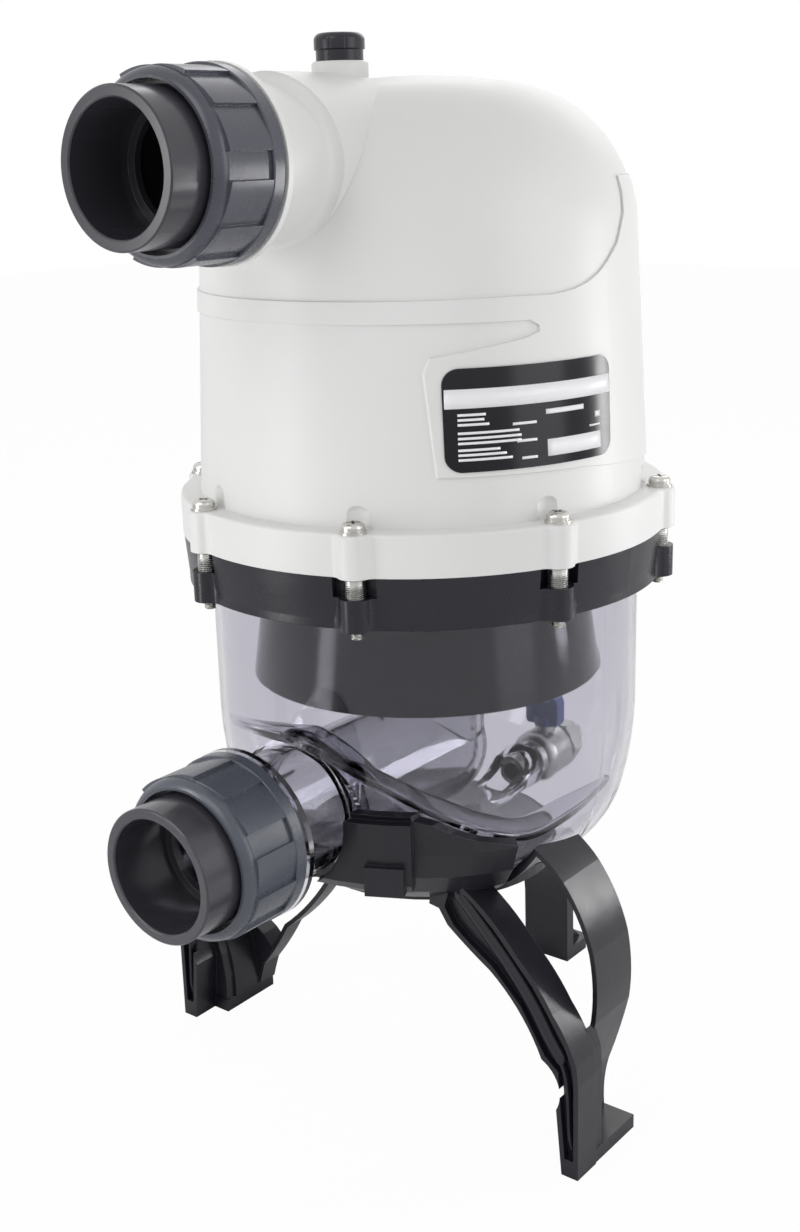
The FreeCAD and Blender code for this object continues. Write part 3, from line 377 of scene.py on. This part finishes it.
def label_print():
    fields = [BAND, BOX]
    for v, length in LONG_BARS:
        fields.append((BARS_LEFT, BARS_LEFT + length, v - BAR_HALF, v + BAR_HALF))
    for left, right, v in SHORT_BARS:
        fields.append((left, right, v - SHORT_BAR_HALF, v + SHORT_BAR_HALF))
    bm = bmesh.new()
    for left, right, bottom, top in fields + SMALL_FIELDS:
        n = max(1, int((right - left) / PRINT_STEP))
        stops = [left + (right - left) * i / n for i in range(n + 1)]
        low = [bm.verts.new(on_label(u, bottom)) for u in stops]
        high = [bm.verts.new(on_label(u, top)) for u in stops]
        for i in range(n):
            face = bm.faces.new((low[i], low[i + 1], high[i + 1], high[i]))
            face.smooth = True
    ob = add_object("label_print", bm, ink)
    solid = ob.modifiers.new("thick", "SOLIDIFY")
    solid.thickness = PRINT_THICK
    solid.offset = -1.0
    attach(ob, "housing")


label_print()


# Threaded ends of the clamp screws, under the ring; metres
SCREWS = 8
SCREW_CIRCLE = 0.1405
FIRST_SCREW = 22.5
END_TOP = FLANGE - 0.0523
END_BOTTOM = FLANGE - 0.0572
END_PITCH = 0.0010
END_R = 0.00305
END_WAVE = 0.0002
END_TIP_R = 0.0024
END_SIDES = 18
END_ROWS = 22


def screw_ends():
    bm = bmesh.new()
    for i in range(SCREWS):
        a = math.radians(FIRST_SCREW + i * 45)
        cx = SCREW_CIRCLE * math.sin(a)
        cy = -SCREW_CIRCLE * math.cos(a)
        loops = []
        for k in range(END_ROWS + 1):
            z = END_TOP + (END_BOTTOM - END_TOP) * k / END_ROWS
            loop = []
            for j in range(END_SIDES):
                t = 2 * math.pi * j / END_SIDES
                wave = math.sin(2 * math.pi * (z / END_PITCH) + t)
                r = END_TIP_R if k == END_ROWS else END_R + END_WAVE * wave
                loop.append((cx + r * math.cos(t), cy + r * math.sin(t), z))
            loops.append(loop)
        loft(bm, loops, 0)
    bmesh.ops.recalc_face_normals(bm, faces=bm.faces)
    ob = add_object("screw_ends", bm, screw_end_steel)
    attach(ob, "housing")


screw_ends()


# Clear ramps moulded inside the bowl: the roof of the inlet channel, the edge of the scoop below
# First the bowl's inner outline from the top down: straight wall, curved side, round corner
WALL_R = 123.7
SIDE_TOP = -130.5
SIDE_CENTRE = -88.9
SIDE_R = 212.6
CORNER_TOP = -183.7
CORNER_CENTRE = 65.0
CORNER_CENTRE_Z = -170.3
CORNER_R = 53.6
RAMP_GAP = 0.4
RAMP_PARTS = 10
# Rows are angle in degrees, height, width and rise of the tip
ROOF = [(-37, -134, 2, 0), (-19, -129, 12, 0.5), (-8, -127.5, 20, 0.5), (1, -127.5, 24, 0.5),
        (14, -136, 24, -2), (25, -149, 20, -4), (33, -162, 16, -5), (41, -175, 12, -5),
        (52, -184, 8, -3), (62, -190, 3, 0)]
SCOOP = [(8, -131, 2, 0), (20, -141, 6, 4), (29, -152, 8, 6), (37, -162, 9, 7), (45, -171, 10, 8),
         (52, -178, 10, 8), (66, -186, 9, 8), (80, -180, 8, 7), (89, -174, 5, 4), (98, -168, 2, 0)]


def bowl_inside(z):
    """Inner radius of the bowl at a height given from the flange, in millimetres."""
    if z > SIDE_TOP:
        return WALL_R
    if z > CORNER_TOP:
        return SIDE_CENTRE + math.sqrt(SIDE_R ** 2 - (z - SIDE_TOP) ** 2)
    return CORNER_CENTRE + math.sqrt(max(0.0, CORNER_R ** 2 - (z - CORNER_CENTRE_Z) ** 2))


def clear_ramp(name, path, thick):
    loops = []
    for az, z, w, rise in smooth_path(path, RAMP_PARTS):
        a = math.radians(az)
        wall = bowl_inside(z - thick) - RAMP_GAP
        # From the wall along the top, round the tip and back along the underside
        section = [(0, 0), (-0.5 * w, 0.35 * rise), (-w, rise),
                   (-w - 0.35 * thick, rise - 0.15 * thick), (-w - 0.5 * thick, rise - 0.5 * thick),
                   (-w - 0.35 * thick, rise - 0.85 * thick), (-w, rise - thick),
                   (-0.5 * w, 0.35 * rise - thick), (0, -thick)]
        loop = []
        for dr, dz in section:
            r = (wall + dr) / 1000
            loop.append((r * math.sin(a), -r * math.cos(a), FLANGE + (z + dz) / 1000))
        loops.append(loop)
    bm = bmesh.new()
    loft(bm, loops, len(loops[0]))
    bmesh.ops.recalc_face_normals(bm, faces=bm.faces)
    ob = add_object(name, bm, bowl_clear)
    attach(ob, "housing")


clear_ramp("inlet_roof", ROOF, 3.0)
clear_ramp("scoop_edge", SCOOP, 2.6)


# Rounded rib along the channel of both side arms; its line as x and height, from hub to foot
RIB_LINE = [(70, -218), (80, -226), (94, -240), (110, -256.5), (125, -275), (137, -294),
            (146, -307), (149.5, -320), (151, -345), (152, -362)]
RIB_PARTS = 6
RIB_Y = -71.4
RIB_HEIGHT = 4.2
RIB_SIDES = 8
RIB_TAPER_ROWS = 4
# The rib is only a thin bead where the arm stands upright, beyond this x
BEAD_FROM = 146
BEAD_HALF = 1.6
RIB_HALF_END = 1.2
RIB_HALF_SWELL = 3.4


def leg_ribs():
    bm = bmesh.new()
    rows = smooth_path(RIB_LINE, RIB_PARTS)
    end = len(rows) - 1
    for side in (1, -1):
        loops = []
        for i, (x, z) in enumerate(rows):
            before = rows[max(0, i - 1)]
            after = rows[min(end, i + 1)]
            dx = after[0] - before[0]
            dz = after[1] - before[1]
            size = math.hypot(dx, dz)
            nx = -dz / size
            nz = dx / size
            taper = min(1.0, i / RIB_TAPER_ROWS, (end - i) / RIB_TAPER_ROWS)
            half = RIB_HALF_END + RIB_HALF_SWELL * math.sqrt(taper)
            if x >= BEAD_FROM:
                half = BEAD_HALF
            loop = []
            for k in range(RIB_SIDES + 1):
                t = math.pi * k / RIB_SIDES
                off = half * math.cos(t)
                y = RIB_Y - RIB_HEIGHT * math.sin(t) * (0.3 + 0.7 * taper)
                loop.append((side * (x + off * nx) / 1000, y / 1000,
                             FLANGE + (z + off * nz) / 1000))
            loops.append(loop)
        loft(bm, loops, RIB_SIDES)
    bmesh.ops.recalc_face_normals(bm, faces=bm.faces)
    ob = add_object("leg_ribs", bm, stand_black)
    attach(ob, "housing")


leg_ribs()


# Studio: pale floor, soft lamps, white background
def seen_by(nt, *kinds):
    """One for a ray of any of these kinds, nought for others."""
    rays = nt.nodes.new("ShaderNodeLightPath")
    total = rays.outputs[kinds[0]]
    for kind in kinds[1:]:
        total = calc(nt, "ADD", total, rays.outputs[kind], clamp=True)
    return total


def mixed(nt, share, first, second):
    node = nt.nodes.new("ShaderNodeMixShader")
    nt.links.new(share, node.inputs["Fac"])
    nt.links.new(first, node.inputs[1])
    nt.links.new(second, node.inputs[2])
    return node.outputs[0]


FLOOR_HALF = 6.0
FLOOR_TONE = (0.88, 0.88, 0.88, 1)
FLOOR_GLOW = 0.965


def floor():
    m = bpy.data.materials.new("floor_pale")
    m.use_nodes = True
    nt = m.node_tree
    nt.nodes.clear()
    out = nt.nodes.new("ShaderNodeOutputMaterial")
    matte = nt.nodes.new("ShaderNodeBsdfDiffuse")
    matte.inputs["Color"].default_value = FLOOR_TONE
    glow = nt.nodes.new("ShaderNodeEmission")
    glow.inputs["Color"].default_value = (1, 1, 1, 1)
    glow.inputs["Strength"].default_value = 1.0
    seen = seen_by(nt, "Is Camera Ray", "Is Transmission Ray")
    share = calc(nt, "MULTIPLY", seen, FLOOR_GLOW)
    nt.links.new(mixed(nt, share, matte.outputs[0], glow.outputs[0]), out.inputs["Surface"])
    bm = bmesh.new()
    s = FLOOR_HALF
    corners = ((-s, -s, 0), (s, -s, 0), (s, s, 0), (-s, s, 0))
    bm.faces.new([bm.verts.new(p) for p in corners])
    ob = add_object("floor", bm, m)


floor()

# The world's light: tone below and tone above, and how strong
WORLD_LOW = (0.35, (0.42, 0.42, 0.44))
WORLD_HIGH = (1.0, (0.80, 0.80, 0.80))
WORLD_LIGHT = 0.85


def studio_world():
    """Soft light that is paler above, and plain white for what the camera and the gloss see."""
    world = bpy.data.worlds.new("studio")
    scene.world = world
    world.use_nodes = True
    nt = world.node_tree
    nt.nodes.clear()
    out = nt.nodes.new("ShaderNodeOutputWorld")
    coord = nt.nodes.new("ShaderNodeTexCoord")
    height = nt.nodes.new("ShaderNodeMapRange")
    height.inputs["From Min"].default_value = -1.0
    height.inputs["From Max"].default_value = 1.0
    nt.links.new(along(nt, coord.outputs["Generated"], "Z"), height.inputs["Value"])
    tone = ramp(nt, height.outputs["Result"], [WORLD_LOW, WORLD_HIGH])
    soft = nt.nodes.new("ShaderNodeBackground")
    soft.inputs["Strength"].default_value = WORLD_LIGHT
    nt.links.new(tone, soft.inputs["Color"])
    paper = nt.nodes.new("ShaderNodeBackground")
    paper.inputs["Color"].default_value = (1, 1, 1, 1)
    paper.inputs["Strength"].default_value = 1.0
    seen = seen_by(nt, "Is Camera Ray", "Is Transmission Ray", "Is Glossy Ray")
    nt.links.new(mixed(nt, seen, soft.outputs[0], paper.outputs[0]), out.inputs["Surface"])


studio_world()

# Lamps stand round the object by the camera's turn
LAMP_TURN = math.radians(38.5)


def from_camera(side, out, height):
    """A place given from the camera's side: to its right, towards it, and up."""
    right = Vector((math.cos(LAMP_TURN), math.sin(LAMP_TURN), 0))
    front = Vector((math.sin(LAMP_TURN), -math.cos(LAMP_TURN), 0))
    return right * side + front * out + Vector((0, 0, height))


MIDDLE = (0, -0.05, 0.32)
# Name, place from the camera's side, aim, size in metres, power in watts
LAMPS = [
    ("key", (-1.5, 1.6, 1.9), MIDDLE, (1.4, 1.4), 12.5),
    ("fill", (1.9, 1.2, 0.9), MIDDLE, (1.2, 1.8), 10.5),
    ("rim", (0.6, -1.7, 1.5), MIDDLE, (1.6, 1.0), 7.0),
    ("strip_left", (-0.72, 0.33, 0.38), (0, 0, 0.37), (0.15, 0.52), 1.6),
    ("strip_right", (0.84, -0.06, 0.37), (0, 0, 0.36), (0.12, 0.36), 1.9),
]
for name, spot, aim, size, power in LAMPS:
    data = bpy.data.lights.new(name, "AREA")
    data.shape = "RECTANGLE"
    data.size, data.size_y = size
    data.energy = power
    lamp = bpy.data.objects.new(name, data)
    scene.collection.objects.link(lamp)
    lamp.location = from_camera(*spot)
    lamp.rotation_euler = (Vector(aim) - from_camera(*spot)).to_track_quat("-Z", "Y").to_euler()

# Camera at the photo's viewpoint; its turn is measured from the -Y side towards +X
CAMERA_PLACE = (0.5664, -0.7381, 0.568)
CAMERA_LENS = 46.3
CAMERA_YAW = math.radians(37.5 + 0.97)
CAMERA_PITCH = math.radians(16.54)
CAMERA_ROLL = math.radians(-1.60)


def camera():
    cam = bpy.data.cameras.new("camera")
    cam.lens = CAMERA_LENS
    cam.sensor_width = 36.0
    cam.sensor_fit = "AUTO"
    ob = bpy.data.objects.new("camera", cam)
    scene.collection.objects.link(ob)
    right = Vector((math.cos(CAMERA_YAW), math.sin(CAMERA_YAW), 0))
    ahead = Vector((-math.sin(CAMERA_YAW), math.cos(CAMERA_YAW), 0))
    look = ahead * math.cos(CAMERA_PITCH) - Vector((0, 0, math.sin(CAMERA_PITCH)))
    top = ahead * math.sin(CAMERA_PITCH) + Vector((0, 0, math.cos(CAMERA_PITCH)))
    cam_right = right * math.cos(CAMERA_ROLL) + top * math.sin(CAMERA_ROLL)
    cam_up = top * math.cos(CAMERA_ROLL) - right * math.sin(CAMERA_ROLL)
    m = Matrix((cam_right, cam_up, -look)).transposed().to_4x4()
    m.translation = Vector(CAMERA_PLACE)
    ob.matrix_world = m
    scene.camera = ob


camera()
